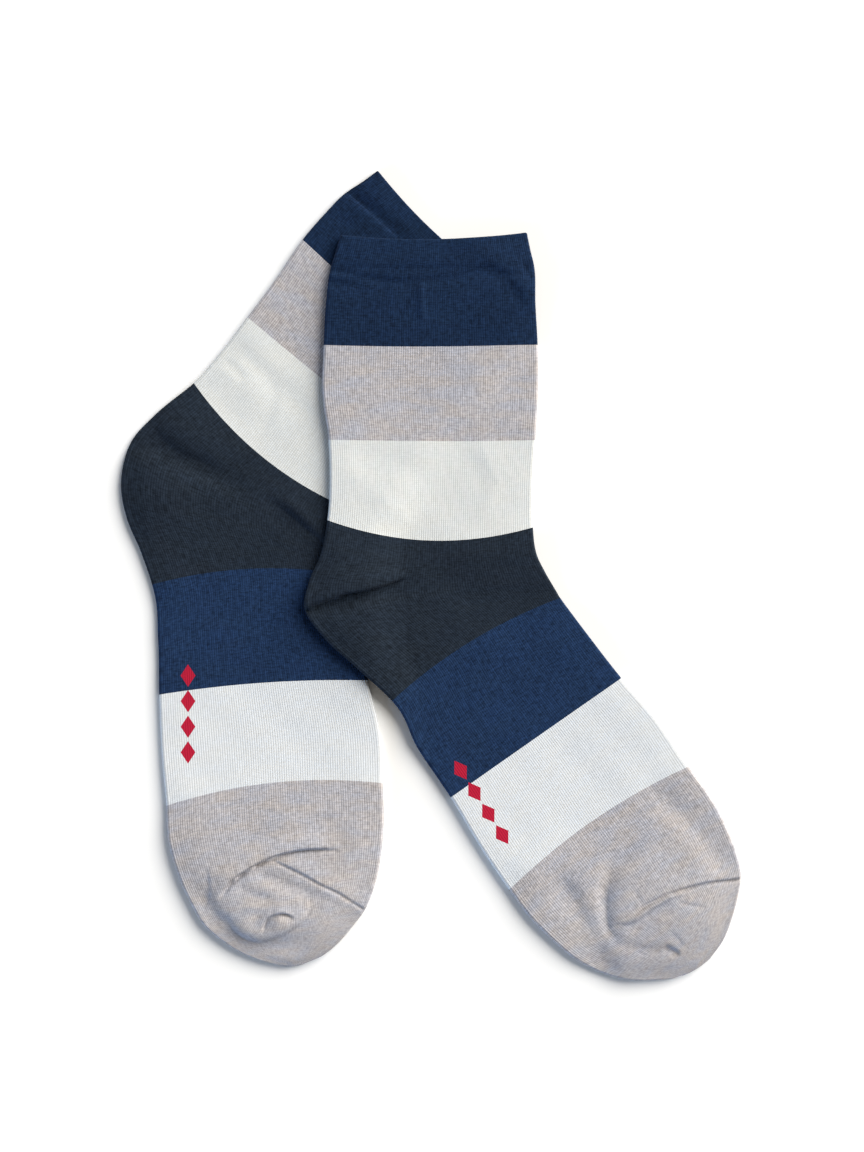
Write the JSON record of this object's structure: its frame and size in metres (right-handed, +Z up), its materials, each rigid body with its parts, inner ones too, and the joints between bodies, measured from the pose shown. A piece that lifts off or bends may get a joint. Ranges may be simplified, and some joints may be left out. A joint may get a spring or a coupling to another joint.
{
  "type": "pair of socks",
  "caption": "Pair of crew socks laid flat, one across the other, knitted in wide bands of navy, taupe, off-white and charcoal, with a turned welt, heel pocket and closed toe.",
  "frame": {"origin": "centre of the pair's bounding box, on the plane that the socks lie on", "axes": "+Z up from the surface, through the thin way of the laid socks; +Y from the toes towards the cuffs, the long way of the pair; +X across the pair, from the lower sock to the upper one's toe"},
  "size_m": [0.2592, 0.3392, 0.01],
  "materials": {
    "navy_knit": "fine jersey knit of combed cotton, dark blue, soft and matt",
    "taupe_knit": "fine jersey knit of marled cotton, pinkish grey, soft and matt",
    "off_white_knit": "fine jersey knit of marled cotton, off-white with grey flecks, soft and matt",
    "charcoal_knit": "fine jersey knit of combed cotton, near-black grey, soft and matt"
  },
  "bodies": {
    "root": {"lower_welt": "navy_knit", "lower_cuff": "navy_knit", "lower_leg_taupe": "taupe_knit", "lower_leg_white": "off_white_knit", "lower_heel": "charcoal_knit", "lower_foot_navy": "navy_knit", "lower_foot_white": "off_white_knit", "lower_toe": "taupe_knit", "upper_welt": "navy_knit", "upper_cuff": "navy_knit", "upper_leg_taupe": "taupe_knit", "upper_leg_white": "off_white_knit", "upper_heel": "charcoal_knit", "upper_foot_navy": "navy_knit", "upper_foot_white": "off_white_knit", "upper_toe": "taupe_knit"}
  },
  "joints": []
}
